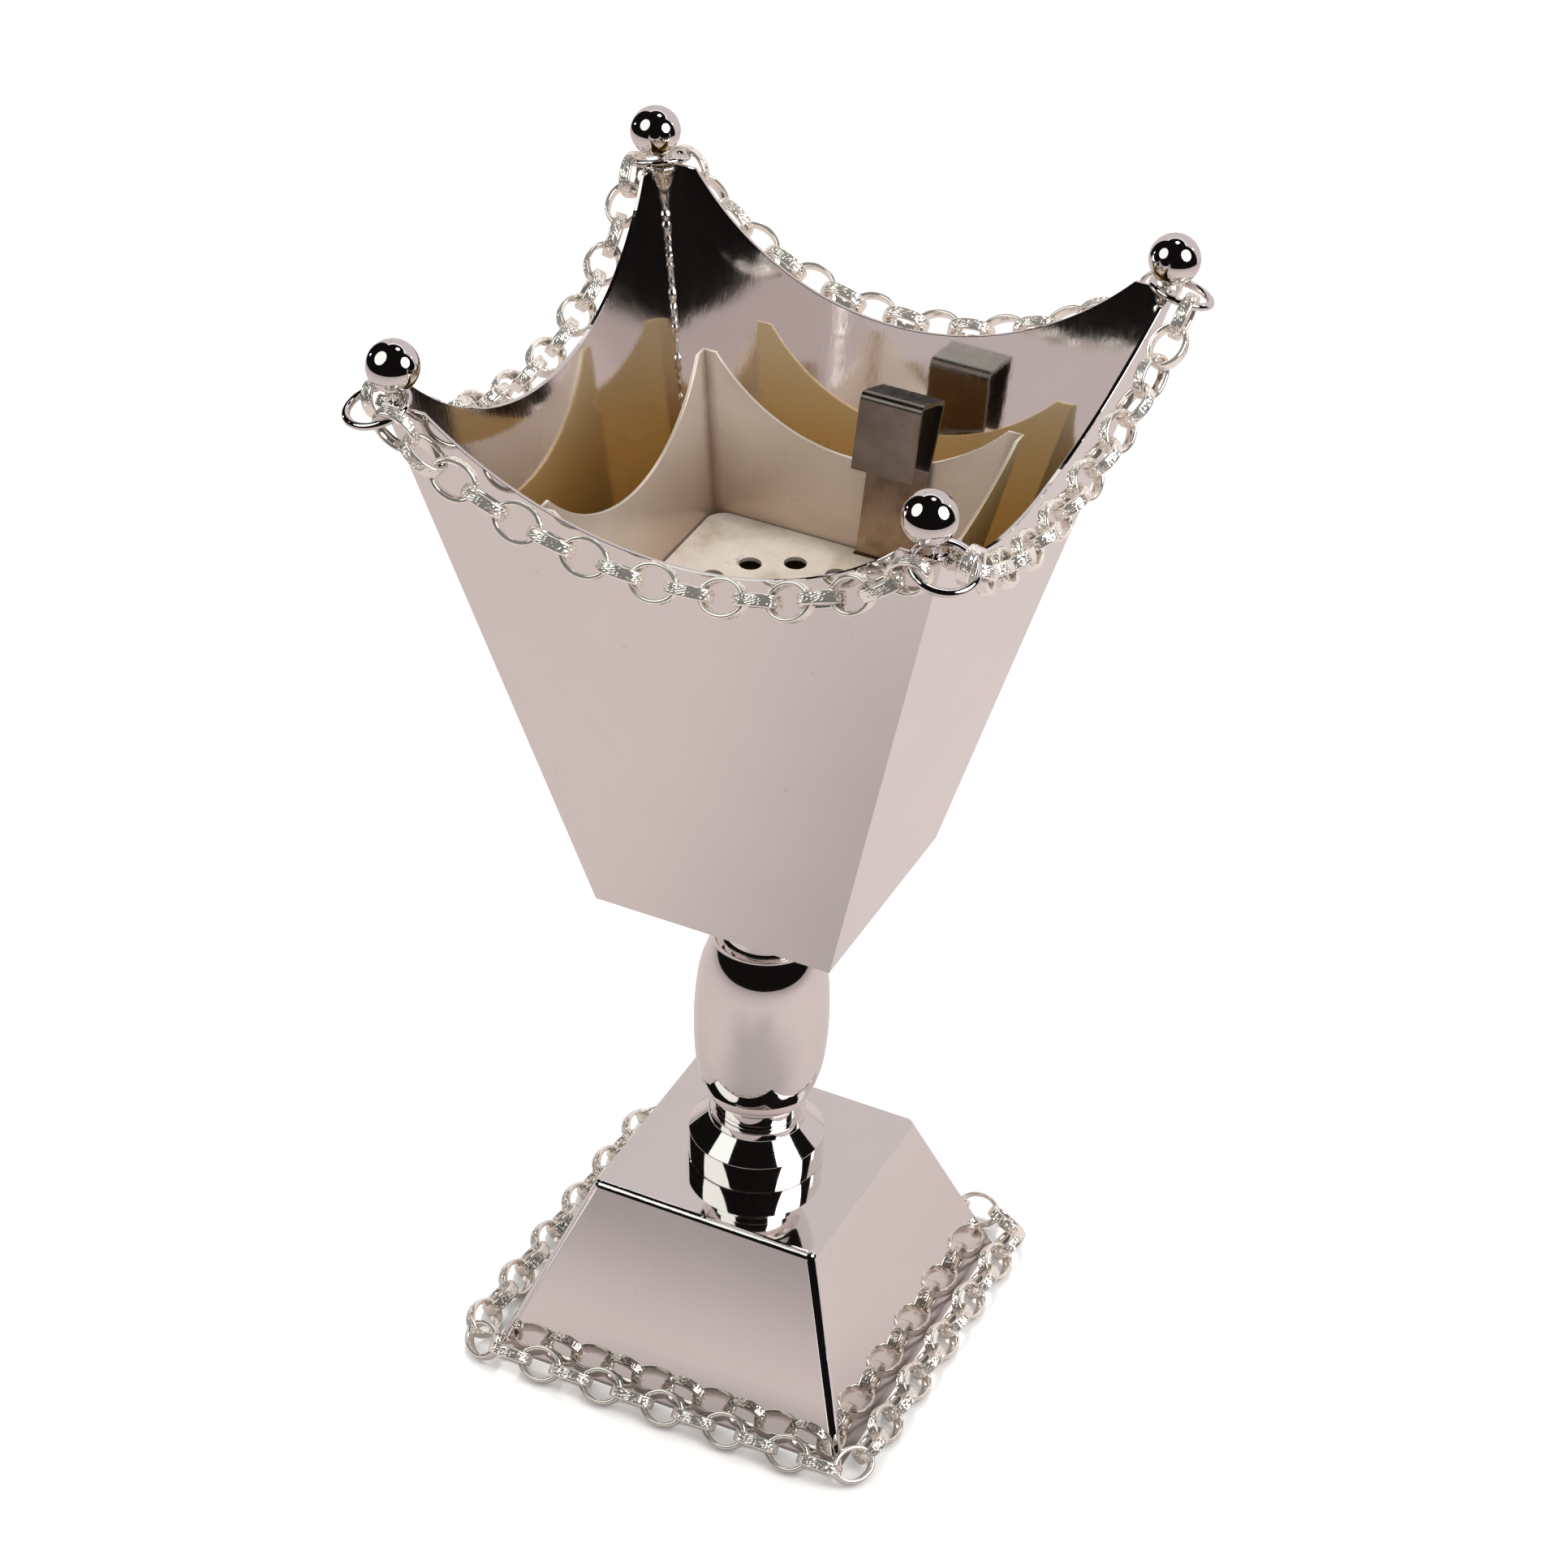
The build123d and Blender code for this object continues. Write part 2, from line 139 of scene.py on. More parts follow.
def make_silver(name, low=0.025, high=0.075, wave=0.00002, base=SILVER, metallic=1.0):
    """Polished silver plate with cloudy wipe marks, faint hairlines and a slight ripple."""
    s = Shader(name, Metallic=metallic)
    cloud = s.noise(38, detail=5)
    fine = s.noise(900, detail=2, vector=s.mapped((1, 1, 0.06)))
    tint = s.ramp(cloud, (0.3, tuple(c * 0.965 for c in base)), (0.7, base))
    specks = s.ramp(s.noise(520, detail=2), (0.70, 1.0), (0.78, 0.86))
    s.link(s.mix(1.0, tint, specks, "MULTIPLY"), s.bsdf.inputs["Base Color"])
    s.link(
        s.ramp(s.mix(0.35, cloud, fine), (0.35, low), (0.72, high)),
        s.bsdf.inputs["Roughness"],
    )
    s.bump(s.mix(0.08, s.noise(14, detail=1), fine), wave)
    return s.mat


def facing(s):
    """1 where the surface faces away from the vertical axis, 0 where it faces it."""
    normal = s.tree.nodes.new("ShaderNodeTexCoord").outputs["Normal"]
    both = []
    for source in (normal, s.place):
        split = s.node("SeparateXYZ")
        s.link(source, split.inputs["Vector"])
        both.append(split)
    x = s.maths("MULTIPLY", both[0].outputs["X"], both[1].outputs["X"])
    y = s.maths("MULTIPLY", both[0].outputs["Y"], both[1].outputs["Y"])
    return s.maths("GREATER_THAN", s.maths("ADD", x, y), 0.0)


def make_bowl_sheet(name):
    """A bowl panel: mirror polish outside, vertical brushing inside."""
    s = Shader(name, Metallic=1.0)
    outside = facing(s)
    lines = s.noise(1500, detail=3, vector=s.mapped((1, 1, 0.02)))
    cloud = s.noise(38, detail=5)
    specks = s.ramp(s.noise(420, detail=2), (0.72, 1.0), (0.80, 0.84))
    tint = s.ramp(cloud, (0.3, tuple(c * 0.97 for c in SILVER)), (0.7, SILVER))
    s.link(s.mix(1.0, tint, specks, "MULTIPLY"), s.bsdf.inputs["Base Color"])
    inner = s.ramp(s.mix(0.5, cloud, lines), (0.3, 0.03), (0.75, 0.11))
    outer = s.ramp(cloud, (0.35, 0.02), (0.72, 0.06))
    s.link(s.mix(outside, inner, outer), s.bsdf.inputs["Roughness"])
    height = s.mix(outside, s.mix(0.5, s.noise(16, detail=1), lines), s.noise(12, detail=1))
    s.bump(height, 0.000012)
    return s.mat


def make_liner_sheet(name):
    """Liner sheet: satin silver inside, warm golden lacquer outside, brown along the seams."""
    s = Shader(name, Anisotropic=0.4)
    outside = facing(s)
    lines = s.noise(1100, detail=2, vector=s.mapped((1, 1, 0.03)))
    cloud = s.noise(17, detail=4, roughness=0.5)
    split = s.node("SeparateXYZ")
    s.link(s.place, split.inputs["Vector"])
    rise = s.maths("ADD", split.outputs["Z"], s.maths("MULTIPLY", cloud, 0.02))
    inner = s.ramp(cloud, (0.30, (0.60, 0.515, 0.44)), (0.65, (0.74, 0.67, 0.60)))
    sooty = s.ramp(rise, (0.222, (0.66, 0.56, 0.47)), (0.245, (1.0, 1.0, 1.0)))
    inner = s.mix(1.0, inner, sooty, "MULTIPLY")
    outer = s.ramp(rise, (0.19, (0.74, 0.38, 0.08)), (0.235, (0.95, 0.60, 0.19)), (0.262, (0.95, 0.78, 0.48)))
    x_size = s.maths("ABSOLUTE", split.outputs["X"])
    across = s.maths("SUBTRACT", x_size, s.maths("ABSOLUTE", split.outputs["Y"]))
    seam = s.maths("ADD", s.maths("ABSOLUTE", across), s.maths("MULTIPLY", s.noise(160, detail=4), 0.0018))
    burnt = s.ramp(seam, (0.0013, 1.0), (0.0030, 0.0))
    inner = s.mix(s.maths("MULTIPLY", burnt, 0.7), inner, (0.22, 0.12, 0.06))
    s.link(s.mix(outside, inner, outer), s.bsdf.inputs["Base Color"])
    s.link(s.ramp(outside, (0.4, 0.65), (0.6, 0.15)), s.bsdf.inputs["Metallic"])
    s.link(s.ramp(s.mix(0.04, cloud, lines), (0.3, 0.22), (0.7, 0.31)), s.bsdf.inputs["Roughness"])
    s.bump(lines, 0.0000002)
    return s.mat


def make_plate_steel(name):
    """The charcoal plate: dull pale plating, burnt and rusty at its edges, with soot marks."""
    s = Shader(name, Metallic=0.35)
    wide = s.noise(55, detail=6, roughness=0.62, distortion=0.4)
    small = s.noise(420, detail=5, roughness=0.7)
    split = s.node("SeparateXYZ")
    s.link(s.place, split.inputs["Vector"])
    x_size = s.maths("ABSOLUTE", split.outputs["X"])
    reach = s.maths("MAXIMUM", x_size, s.maths("ABSOLUTE", split.outputs["Y"]))
    rim = s.maths("ADD", s.maths("MULTIPLY", reach, 30.0), s.maths("MULTIPLY", wide, 0.22))
    worn, plain, bright = (0.33, 0.27, 0.215), (0.50, 0.445, 0.39), (0.56, 0.515, 0.465)
    pale = s.ramp(wide, (0.30, worn), (0.50, plain), (0.75, bright))
    rust = s.ramp(small, (0.35, (0.20, 0.10, 0.05)), (0.65, (0.48, 0.33, 0.22)))
    colour = s.mix(s.ramp(rim, (1.00, 0.0), (1.10, 0.9)), pale, rust)
    soot = s.ramp(s.mix(0.5, wide, small), (0.60, 0.0), (0.70, 0.8))
    s.link(s.mix(soot, colour, (0.12, 0.10, 0.085)), s.bsdf.inputs["Base Color"])
    s.link(s.ramp(small, (0.3, 0.34), (0.7, 0.6)), s.bsdf.inputs["Roughness"])
    s.bump(s.mix(0.5, wide, small), 0.00012)
    return s.mat


def make_handle_steel(name):
    """The lifting strip: dark steel blued and browned by heat towards its foot, with scratches."""
    s = Shader(name, Metallic=1.0)
    cloud = s.noise(70, detail=6, roughness=0.65)
    lines = s.noise(1200, detail=3, vector=s.mapped((1, 0.15, 0.04)))
    split = s.node("SeparateXYZ")
    s.link(s.place, split.inputs["Vector"])
    low = s.maths("ADD", split.outputs["Z"], s.maths("MULTIPLY", cloud, 0.012))
    plain = s.ramp(cloud, (0.3, (0.20, 0.165, 0.145)), (0.7, (0.34, 0.295, 0.27)))
    heat = s.ramp(cloud, (0.3, (0.17, 0.095, 0.05)), (0.55, (0.36, 0.25, 0.16)), (0.75, (0.42, 0.36, 0.28)))
    s.link(s.mix(s.ramp(low, (0.226, 1.0), (0.243, 0.0)), plain, heat), s.bsdf.inputs["Base Color"])
    s.link(s.ramp(s.mix(0.5, cloud, lines), (0.3, 0.16), (0.75, 0.33)), s.bsdf.inputs["Roughness"])
    s.bump(s.mix(0.4, lines, cloud), 0.00001)
    return s.mat


def make_solder(name):
    """Bright lumpy solder under the plating, with brown flux left in its hollows."""
    s = Shader(name, Metallic=1.0)
    lumps = s.noise(420, detail=4, roughness=0.6)
    tint = s.ramp(lumps, (0.30, (0.50, 0.42, 0.34)), (0.42, (0.84, 0.80, 0.77)), (0.7, (0.92, 0.89, 0.87)))
    s.link(tint, s.bsdf.inputs["Base Color"])
    s.link(s.ramp(lumps, (0.3, 0.20), (0.7, 0.05)), s.bsdf.inputs["Roughness"])
    s.bump(lumps, 0.0002)
    return s.mat


def make_fixing(name):
    """Zinc-plated rod, nuts and washers: slightly blue, spangled and dull."""
    s = Shader(name, Metallic=1.0)
    cells = s.node("TexVoronoi")
    cells.inputs["Scale"].default_value = 420
    s.link(s.place, cells.inputs["Vector"])
    spangle = s.ramp(cells.outputs["Distance"], (0.1, (0.50, 0.51, 0.53)), (0.8, (0.68, 0.69, 0.70)))
    s.link(spangle, s.bsdf.inputs["Base Color"])
    s.link(s.ramp(s.noise(200), (0.3, 0.28), (0.7, 0.46)), s.bsdf.inputs["Roughness"])
    s.bump(s.noise(600), 0.00004)
    return s.mat


silver = make_silver("silver_plate")
chain_silver = make_silver("chain_silver", 0.06, 0.14, 0.00001, (0.98, 0.925, 0.86), 0.86)
bowl_sheet = make_bowl_sheet("bowl_sheet")
liner_sheet = make_liner_sheet("liner_sheet")
plate_steel = make_plate_steel("plate_steel")
handle_steel = make_handle_steel("handle_steel")
solder = make_solder("solder")
fixing = make_fixing("fixing_steel")
FINISH = {"silver_plate": silver, "solder": solder, "liner_sheet": liner_sheet}
FINISH.update({"plate_steel": plate_steel, "handle_steel": handle_steel, "fixing_steel": fixing})
slot_of_node = {p["node"]: p["material_slot"] for p in frame["record"]["subparts"]}


def paint(obj, material):
    obj.data.materials.clear()
    obj.data.materials.append(material)


for name, obj in nodes.items():
    paint(obj, FINISH[slot_of_node[name]])


# ---- mesh helpers ---------------------------------------------------------------------------
def piece(name, vertices, faces, material, replaced, smooth=True):
    """A new mesh that stands for CAD nodes and rides on their body."""
    mesh = bpy.data.meshes.new(name)
    mesh.from_pydata([tuple(v) for v in vertices], [], faces)
    mesh.validate()
    mesh.update()
    if isinstance(smooth, bool):
        mesh.polygons.foreach_set("use_smooth", [smooth] * len(mesh.polygons))
    else:
        mesh.polygons.foreach_set("use_smooth", smooth)
    obj = bpy.data.objects.new(name, mesh)
    bpy.context.scene.collection.objects.link(obj)
    paint(obj, material)
    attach(obj, body_of_node[replaced[0]])
    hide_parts(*replaced)
    return obj


def points_of(node):
    """The corner points of a CAD node's mesh, in metres."""
    mesh = nodes[node].data
    co = np.zeros(len(mesh.vertices) * 3)
    mesh.vertices.foreach_get("co", co)
    return co.reshape(-1, 3)


def solids_of(node):
    """The distinct points of each separate solid in a CAD node."""
    mesh = nodes[node].data
    keys, index = {}, []
    for point in points_of(node):
        key = tuple(np.round(point, 6))
        index.append(keys.setdefault(key, len(keys)))
    parent = list(range(len(keys)))

    def root(i):
        while parent[i] != i:
            parent[i] = parent[parent[i]]
            i = parent[i]
        return i

    for polygon in mesh.polygons:
        first = root(index[polygon.vertices[0]])
        for other in polygon.vertices[1:]:
            parent[root(index[other])] = first
    groups = {}
    for key, i in keys.items():
        groups.setdefault(root(i), []).append(key)
    return [np.array(g) for g in groups.values()]


def own_axes(points):
    """Centre and axes of a symmetric solid, longest first, shortest last."""
    middle = points.mean(0)
    values, vectors = np.linalg.eigh(np.cov((points - middle).T))
    axes = vectors[:, ::-1].T
    local = (points - middle) @ axes.T
    centre = middle + ((local.max(0) + local.min(0)) / 2) @ axes
    return Vector(centre), [Vector(a) for a in axes]


def tube_faces(rings, around):
    """Quads joining closed rings of points into a closed loop."""
    faces = []
    for i in range(rings):
        for j in range(around):
            a, b = i * around + j, i * around + (j + 1) % around
            c, d = ((i + 1) % rings) * around + (j + 1) % around, ((i + 1) % rings) * around + j
            faces.append((a, b, c, d))
    return faces


def lathe(name, profile, replaced, material, segments=160, origin=Vector(), axis=Vector((0, 0, 1))):
    """A turned piece: the closed outline (radius, height) in mm swept round an axis."""
    turn = axis.to_track_quat("Z", "Y").to_matrix()
    vertices = []
    for k in range(segments):
        angle = 2 * math.pi * k / segments
        for radius, height in profile:
            spot = Vector((radius * math.cos(angle), radius * math.sin(angle), height)) * MM
            vertices.append(origin + turn @ spot)
    faces = tube_faces(segments, len(profile))
    return piece(name, vertices, faces, material, replaced)


def rounded(points, radius, steps=4):
    """A closed outline with each corner rounded by a small arc."""
    out = []
    count = len(points)
    for i, corner in enumerate(points):
        here = Vector(corner)
        before, after = Vector(points[i - 1]), Vector(points[(i + 1) % count])
        back, ahead = (before - here), (after - here)
        turn = back.angle(ahead)
        reach = radius / math.tan(turn / 2)
        limit = 0.45 * min(back.length, ahead.length)
        reach = min(reach, limit)
        if turn > math.radians(174):
            out.append(tuple(here))
            continue
        start, end = here + back.normalized() * reach, here + ahead.normalized() * reach
        for k in range(steps + 1):
            t = k / steps
            out.append(tuple(start * (1 - t) ** 2 + here * 2 * t * (1 - t) + end * t**2))
    return out


def harden(obj):
    """Sharp shading only where the surface really turns."""
    obj.data.polygons.foreach_set("use_smooth", [True] * len(obj.data.polygons))
    obj.data.set_sharp_from_angle(angle=math.radians(38))


# ---- column: turned pieces -------------------------------------------------------------------
def level(node):
    low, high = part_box(node)
    return low.z / MM, high.z / MM


BORE = 3.15
COLLAR, RING, NECK = 17.4, 12.4, 10.9
RING_HEIGHT, SHOULDER_HEIGHT = 2.2, 4.8
SHOULDER_TOP = RING_HEIGHT + SHOULDER_HEIGHT
low, high = level("column_foot")
ring_low = high - RING_HEIGHT
foot = [(BORE, low), (COLLAR, low), (COLLAR, ring_low - SHOULDER_HEIGHT)]
foot += [(RING, ring_low), (RING, high), (BORE, high)]
lathe("column_foot_turned", rounded(foot, 0.35), ["column_foot"], silver)
low, high = level("column_head")
head = [(BORE, low), (RING, low), (RING, low + RING_HEIGHT)]
head += [(COLLAR, low + SHOULDER_TOP), (COLLAR, high), (BORE, high)]
lathe("column_head_turned", rounded(head, 0.35), ["column_head"], silver)
for place in ("lower", "upper"):
    low, high = level(f"column_neck_{place}")
    neck = [(BORE, low), (NECK, low), (NECK, high), (BORE, high)]
    lathe(f"column_neck_{place}_turned", rounded(neck, 0.3), [f"column_neck_{place}"], silver)


def bulb_outline(low, high):
    """The long bulb: a gently bellied middle drawing in to a straight lip at each end."""
    mid, half = (low + high) / 2, (high - low) / 2
    reach, bead, belly, shoulder, end = 13.0, 0.4, 17.1, 16.5, 12.6
    span = half - reach
    sag = belly - shoulder
    radius = (span**2 + sag**2) / (2 * sag)
    slope = math.asin(span / radius)
    points = []
    for k in range(13):
        t = slope * k / 12
        points.append((belly - radius * (1 - math.cos(t)), radius * math.sin(t)))
    start, drop = Vector(points[-1]), Vector((end, half - bead))
    tangent = Vector((-math.sin(slope), math.cos(slope)))
    chord = drop - start
    normal = Vector((-tangent.y, tangent.x))
    r = chord.length_squared / (2 * chord.dot(normal))
    centre = start + normal * r
    a0 = math.atan2(start.y - centre.y, start.x - centre.x)
    a1 = math.atan2(drop.y - centre.y, drop.x - centre.x)
    for k in range(1, 15):
        a = a0 + (a1 - a0) * k / 14
        points.append((centre.x + abs(r) * math.cos(a), centre.y + abs(r) * math.sin(a)))
    points += [(end - 0.02, half - 0.12), (end - 0.2, half), (BORE, half)]
    upper = [(x, mid + y) for x, y in points]
    lower = [(x, mid - y) for x, y in reversed(points[1:])]
    return lower + upper


low, high = level("column_bulb")
harden(lathe("column_bulb_turned", bulb_outline(low, high), ["column_bulb"], silver))


# ---- bowl and liner panels --------------------------------------------------------------------
# Rim dip, rim radius, sheet thickness in mm, and the flare as a slope.
BOWL_FLARE = 0.247
BOWL_SHAPE = (24.8, 78.5, 1.0, BOWL_FLARE)
LINER_SHAPE = (16.7, 52.0, 0.8, 0.20)


def crown_sheet(name, node, side, dip, radius, sheet, flare, material, steps=72):
    """A flared panel with its dipped rim drawn finely and its edges eased."""
    n = Vector((*SIDES[side], 0))
    along = Vector((-n.y, n.x, 0))
    points = points_of(node)
    out = points @ np.array(n)
    low, top = points[:, 2].min(), points[:, 2].max()
    top_half, bottom_half = out.max(), out[points[:, 2] < low + 0.0002].max()
    wall = sheet * MM * math.sqrt(1 + flare**2)
    dip, radius = dip * MM, radius * MM
    half = math.sqrt(radius**2 - (radius - dip) ** 2)

    def half_at(z):
        return bottom_half + (top_half - bottom_half) * (z - low) / (top - low)

    ease = 0.12 * MM
    rim = []
    for k in range(steps + 1):
        a = math.asin(half / radius) * (2 * k / steps - 1)
        rim.append((radius * math.sin(a), top - dip + radius * (1 - math.cos(a))))

    def outline(inset, drop):
        """Points of the panel's face at a depth inside the sheet, drop below the rim."""

        def edge(z):
            return half_at(z) - inset

        pts = [(-edge(low), low)]
        pts.append((-edge(top - drop), top - drop))
        for x, z in rim:
            limit = edge(z)
            pts.append((max(-limit, min(limit, x)), z - drop))
        pts.append((edge(top - drop), top - drop))
        pts.append((edge(low), low))
        return [n * (half_at(z) - inset) + along * x + Vector((0, 0, z)) for x, z in pts]

    layers = [outline(0, ease), outline(ease, 0), outline(wall - ease, 0), outline(wall, ease)]
    count = len(layers[0])
    vertices = [p for layer in layers for p in layer]
    faces = [tuple(range(count)), tuple(reversed(range(3 * count, 4 * count)))]
    for k in range(3):
        for j in range(count):
            a, b = k * count + j, k * count + (j + 1) % count
            faces.append((b, a, a + count, b + count))
    obj = piece(name, vertices, faces, material, [node], smooth=False)
    edit = bmesh.new()
    edit.from_mesh(obj.data)
    bmesh.ops.remove_doubles(edit, verts=edit.verts, dist=0.000002)
    bmesh.ops.recalc_face_normals(edit, faces=edit.faces)
    bmesh.ops.triangulate(edit, faces=[f for f in edit.faces if len(f.verts) > 4])
    edit.to_mesh(obj.data)
    edit.free()
    return obj


for side in SIDES:
    crown_sheet(f"bowl_sheet_{side}", f"bowl_panel_{side}", side, *BOWL_SHAPE, bowl_sheet)
    crown_sheet(f"liner_sheet_{side}", f"liner_panel_{side}", side, *LINER_SHAPE, liner_sheet)


# ---- chain links --------------------------------------------------------------------------------
LENGTH, WIDTH, SHEET = 12.0, 9.4, 1.2
AROUND = 84
OUTER = [(0.46, -1.34), (0.56, -1.08), (0.60, -0.81), (0.62, -0.54), (0.63, -0.27), (0.63, 0.0)]
OUTER += [(r, -z) for r, z in reversed(OUTER[:-1])]
BAND_OUTLINE = OUTER + [(0.24, 1.48), (-0.05, 1.50), (-0.42, 1.40), (-0.58, 1.05), (-0.60, 0.0)]
BAND_OUTLINE += [(-0.58, -1.05), (-0.42, -1.40), (-0.05, -1.50), (0.24, -1.48)]


def add_link(vertices, faces, smooth, centre, axes, seed):
    """One oval band link whose outer face is cut with small bright facets."""
    rng = random.Random(seed)
    base = len(vertices)
    count = len(BAND_OUTLINE)
    a, b = (LENGTH - SHEET) / 2, (WIDTH - SHEET) / 2
    for i in range(AROUND):
        t = 2 * math.pi * i / AROUND
        x, y = a * math.cos(t), b * math.sin(t)
        nx, ny = b * math.cos(t), a * math.sin(t)
        size = math.hypot(nx, ny)
        nx, ny = nx / size, ny / size
        for j, (r, z) in enumerate(BAND_OUTLINE):
            cut = -0.11 * rng.random() if 2 <= j <= len(OUTER) - 3 and (i // 2 + j) % 2 else 0.0
            reach = r - 0.04 + cut
            spot = axes[0] * (x + nx * reach) + axes[1] * (y + ny * reach) + axes[2] * z
            vertices.append(centre + spot * MM)
    for i in range(AROUND):
        for j in range(count):
            p, q = i * count + j, i * count + (j + 1) % count
            r, s = ((i + 1) % AROUND) * count + (j + 1) % count, ((i + 1) % AROUND) * count + j
            faces.append((base + p, base + q, base + r, base + s))
            smooth.append(not 1 <= j < len(OUTER) - 2)


def chain(name, node, seed):
    vertices, faces, smooth = [], [], []
    for k, points in enumerate(sorted(solids_of(node), key=lambda p: tuple(p.mean(0).round(5)))):
        centre, axes = own_axes(points)
        if axes[0].cross(axes[1]).dot(axes[2]) < 0:
            axes[2] = -axes[2]
        add_link(vertices, faces, smooth, centre, axes, seed * 100 + k)
    return piece(name, vertices, faces, chain_silver, [node], smooth=smooth)


for k, side in enumerate(SIDES):
    chain(f"swag_links_{side}", f"chain_swag_{side}", k)
for k, corner in enumerate(CORNERS):
    chain(f"end_links_{corner}", f"corner_links_{corner}", 10 + k)
chain("foot_links", "base_chain", 20)


# ---- corner rings ------------------------------------------------------------------------------
def wire_ring(name, node, wire=1.0):
    """A jump ring of round wire, butted closed, a little uneven along its length."""
    centre, axes = own_axes(points_of(node))
    spots = (points_of(node) - np.array(centre)) @ np.array([list(a) for a in axes]).T
    radius = spots[:, 0].max() / MM - wire
    rng = random.Random(len(name))
    phase = [rng.uniform(0, 6.28) for _ in range(3)]
    rings, around = 96, 16
    vertices = []
    for i in range(rings):
        t = 2 * math.pi * i / rings
        thick = wire * (1 - 0.03 * (1 + math.sin(3 * t + phase[0])))
        gap = 0.12 * math.exp(-(((t - phase[1]) / 0.05) ** 2))
        thick -= gap
        for j in range(around):
            u = 2 * math.pi * j / around
            reach = radius + thick * math.cos(u)
            spot = axes[0] * (reach * math.cos(t)) + axes[1] * (reach * math.sin(t))
            spot = spot + axes[2] * (thick * math.sin(u))
            vertices.append(centre + spot * MM)
    return piece(name, vertices, tube_faces(rings, around), silver, [node])


for corner in CORNERS:
    wire_ring(f"jump_ring_{corner}", f"corner_ring_{corner}")


# ---- finial balls and their solder ---------------------------------------------------------------
def sphere_of(points):
    """Centre and radius of the sphere on which most of the points lie."""
    keep = points
    for _ in range(3):
        a = np.c_[2 * keep, np.ones(len(keep))]
        fit, *_ = np.linalg.lstsq(a, (keep**2).sum(1), rcond=None)
        centre = fit[:3]
        radius = math.sqrt(fit[3] + centre @ centre)
        off = abs(np.linalg.norm(points - centre, axis=1) - radius)
        keep = points[off < max(0.00015, np.percentile(off, 60))]
    return Vector(centre), radius


POST_INSET, POST_RADIUS, BORE_DEPTH, SOLDER_RADIUS = 2.3, 1.2, 2.6, 2.3
bowl_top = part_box("bowl_panel_front")[1].z
bowl_half = -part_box("bowl_panel_front")[0].y
for corner, (sx, sy) in CORNERS.items():
    centre, radius = sphere_of(points_of(f"finial_ball_{corner}"))
    inset = bowl_half - POST_INSET * MM
    root = Vector((sx * inset, sy * inset, bowl_top))
    axis = (centre - root).normalized()
    R = radius / MM
    seat = math.sqrt(R**2 - POST_RADIUS**2)
    outline = [(POST_RADIUS, -seat + BORE_DEPTH), (POST_RADIUS, -seat - 0.35)]
    outline += [(1.75, -seat - 0.30), (2.05, -seat + 0.10)]
    start = math.acos(min(1, math.sqrt(R**2 - SOLDER_RADIUS**2) / R))
    for k in range(41):
        t = start + (math.pi - start) * k / 40
        outline.append((max(0.02, R * math.sin(t)), -R * math.cos(t)))
    outline.append((0.02, -seat + BORE_DEPTH))
    lathe(f"ball_{corner}", outline, [f"finial_ball_{corner}"], silver, 96, centre, axis)


def solder_seam(corner, sx, sy):
    """The run of solder down the inside of a corner, and the lump that seats the stud."""
    node = f"corner_solder_{corner}"
    low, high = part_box(node)
    rng = random.Random(corner)
    steps, across = 90, 7
    flare, wall = BOWL_FLARE, math.sqrt(1 + BOWL_FLARE**2) * MM
    vertices = []
    swell = [rng.random() for _ in range(steps + 1)]
    for i in range(steps + 1):
        z = low.z + (high.z - low.z) * i / steps
        edge = bowl_half - flare * (bowl_top - z) - wall
        t = i / steps
        leg = 0.40 + 0.75 * t + 0.55 * (swell[i] - 0.3)
        if z > bowl_top - 9 * MM:
            leg += 2.6 * ((z - bowl_top + 9 * MM) / (9 * MM)) ** 1.3
        leg *= MM
        corner_point = Vector((sx * (edge + 0.2 * MM), sy * (edge + 0.2 * MM), z))
        vertices.append(corner_point)
        for j in range(across + 1):
            u = j / across
            bulge = 0.16 * math.sin(math.pi * u) * leg * (1 + 0.5 * rng.uniform(-1, 1))
            x = edge - leg * (1 - u) - bulge
            y = edge - leg * u - bulge
            lift = 0.15 * MM * rng.uniform(-1, 1)
            vertices.append(Vector((sx * x, sy * y, z + (lift if 0 < i < steps else 0))))
    faces = []
    count = across + 2
    for i in range(steps):
        for j in range(count):
            a, b = i * count + j, i * count + (j + 1) % count
            faces.append((a, b, b + count, a + count))
    faces.append(tuple(reversed(range(count))))
    faces.append(tuple(range(steps * count, (steps + 1) * count)))
    obj = piece(f"solder_{corner}", vertices, faces, solder, [node])
    edit = bmesh.new()
    edit.from_mesh(obj.data)
    bmesh.ops.recalc_face_normals(edit, faces=edit.faces)
    edit.to_mesh(obj.data)
    edit.free()


for corner, (sx, sy) in CORNERS.items():
    solder_seam(corner, sx, sy)


# ---- camera -----------------------------------------------------------------------------------
azimuth, elevation, roll = math.radians(24.06), math.radians(35.05), math.radians(2.62)
level_part = math.cos(elevation)
back = Vector((math.sin(azimuth) * level_part, -math.cos(azimuth) * level_part, math.sin(elevation)))
right = (-back).cross(Vector((0, 0, 1))).normalized()
up = right.cross(-back)
x_axis = right * math.cos(roll) + up * math.sin(roll)
y_axis = up * math.cos(roll) - right * math.sin(roll)
camera_data = bpy.data.cameras.new("camera")
camera_data.sensor_width = 36.0
camera_data.lens = 101.6
camera_data.clip_start, camera_data.clip_end = 0.05, 50.0
camera = bpy.data.objects.new("camera", camera_data)
bpy.context.scene.collection.objects.link(camera)
placed = Matrix((x_axis, y_axis, back)).transposed().to_4x4()
placed.translation = Vector((0.36027, -0.79955, 0.77907))
camera.matrix_world = placed
bpy.context.scene.camera = camera


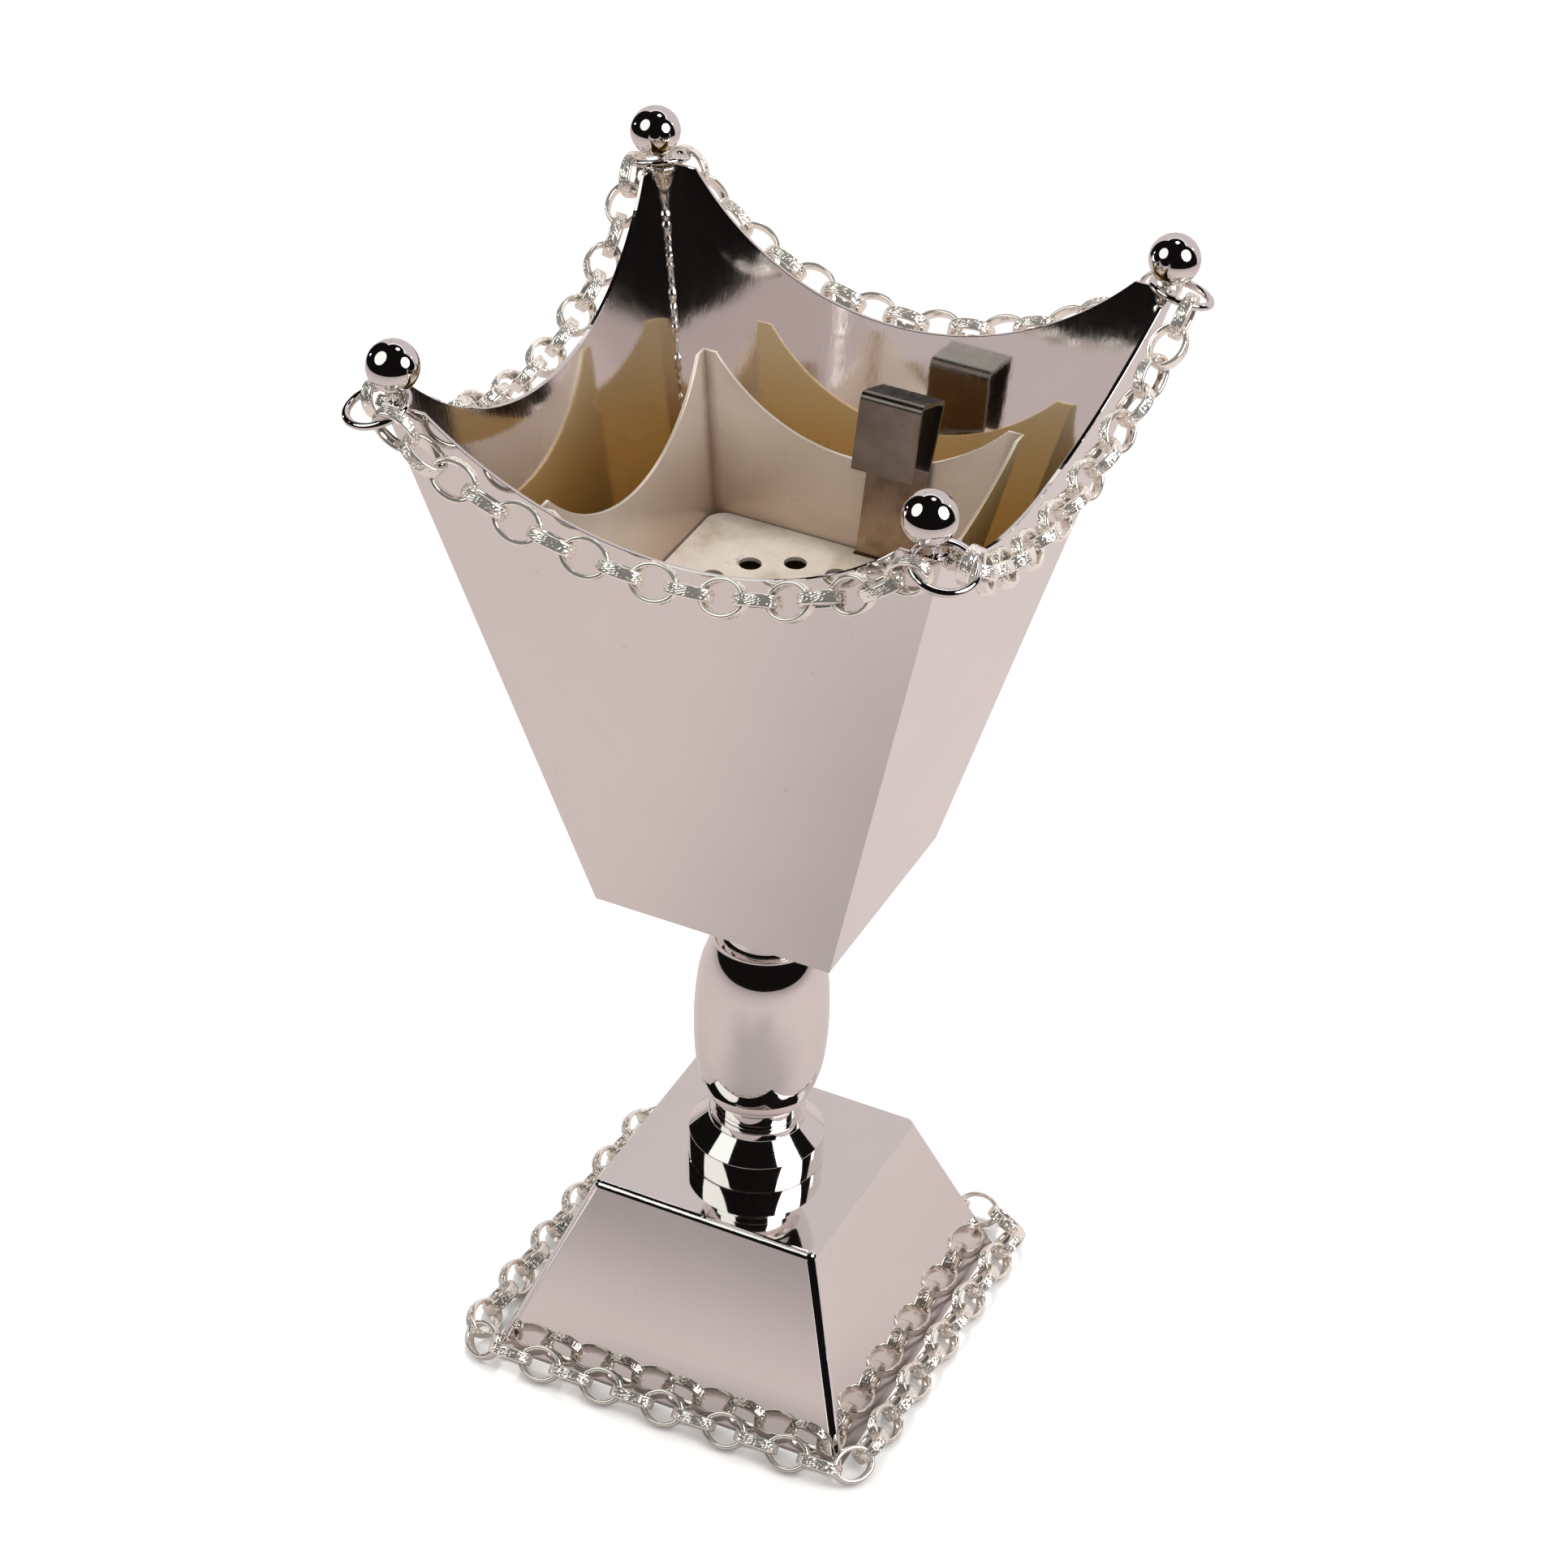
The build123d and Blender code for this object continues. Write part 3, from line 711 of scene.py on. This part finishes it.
# ---- stage: floor, surround and lights ----------------------------------------------------------
def stage_mesh(name, vertices, faces, colour, glow=None, unseen=()):
    mesh = bpy.data.meshes.new(name)
    mesh.from_pydata(vertices, [], faces)
    obj = bpy.data.objects.new(name, mesh)
    bpy.context.scene.collection.objects.link(obj)
    mat = bpy.data.materials.new(name)
    mat.use_nodes = True
    bsdf = mat.node_tree.nodes["Principled BSDF"]
    bsdf.inputs["Base Color"].default_value = (*colour, 1)
    bsdf.inputs["Roughness"].default_value = 0.9
    bsdf.inputs["Specular IOR Level"].default_value = 0.0
    if glow:
        bsdf.inputs["Emission Color"].default_value = (*glow, 1)
        bsdf.inputs["Emission Strength"].default_value = 1.0
    mesh.materials.append(mat)
    for flag in unseen:
        setattr(obj, f"visible_{flag}", False)
    return obj


def disc(radius, z, steps=96):
    angles = [2 * math.pi * k / steps for k in range(steps)]
    ring = [(radius * math.cos(a), radius * math.sin(a), z) for a in angles]
    return ring, [tuple(range(steps))]


def wall_arc(radius, low, high, start, end, steps=64):
    points = []
    for k in range(steps + 1):
        a = math.radians(start + (end - start) * k / steps)
        for z in (low, high):
            points.append((radius * math.sin(a), -radius * math.cos(a), z))
    return points, [(2 * k, 2 * k + 2, 2 * k + 3, 2 * k + 1) for k in range(steps)]


stage_mesh("floor", *disc(6.0, 0.0), (0.89, 0.885, 0.88), unseen=("glossy",))
ONLY_GLOSS = ("camera", "diffuse", "shadow", "transmission", "volume_scatter")
stage_mesh("floor_in_reflections", *disc(6.0, 0.0001), (0.365, 0.328, 0.326), unseen=ONLY_GLOSS)
DARK = (0.006, 0.005, 0.005)
stage_mesh("dark_surround", *wall_arc(0.8, 0.06, 1.5, -125, 130), (0, 0, 0), DARK, unseen=ONLY_GLOSS)
stage_mesh("dark_canopy", *disc(0.95, 1.5), (0, 0, 0), DARK, unseen=ONLY_GLOSS)
PALE = (0.66, 0.61, 0.605)
stage_mesh("pale_surround", *wall_arc(0.9, 0.0, 1.2, 130, 235), (0, 0, 0), PALE, unseen=ONLY_GLOSS)


AIM = Vector((0, 0, 0.25))


def softbox(name, azimuth, elevation, distance, size, radiance, colour=(1, 1, 1), gloss=True):
    a, e = math.radians(azimuth), math.radians(elevation)
    towards = Vector((math.sin(a) * math.cos(e), -math.cos(a) * math.cos(e), math.sin(e)))
    light = bpy.data.lights.new(name, "AREA")
    light.shape = "DISK"
    light.size = size
    light.energy = radiance * math.pi * math.pi * size**2 / 4
    light.color = colour
    obj = bpy.data.objects.new(name, light)
    obj.location = AIM + towards * distance
    obj.rotation_euler = towards.to_track_quat("Z", "Y").to_euler()
    obj.visible_camera = False
    obj.visible_glossy = gloss
    bpy.context.scene.collection.objects.link(obj)


softbox("softbox_left", -48, 38, 0.68, 0.56, 1.2, (0.95, 1.0, 0.96))
softbox("softbox_right", 88, 33, 0.68, 0.50, 4.0)
softbox("softbox_top", 170, 72, 1.0, 0.24, 2.0)
softbox("fill_above", 24, 76, 0.9, 0.4, 4.0, (1.0, 0.96, 0.9), gloss=False)
softbox("fill_behind", 200, 66, 0.9, 0.3, 40.0, (1.0, 0.96, 0.9), gloss=False)
softbox("lamp_left", -97, 6, 0.75, 0.06, 10.0)
softbox("lamp_right", 135, 24, 0.75, 0.06, 10.0)

world = bpy.data.worlds.new("studio")
bpy.context.scene.world = world
world.use_nodes = True
ground = world.node_tree.nodes["Background"]
ground.inputs["Color"].default_value = (0.97, 0.96, 0.955, 1)
ground.inputs["Strength"].default_value = 1.0
bpy.context.scene.view_settings.view_transform = "Standard"
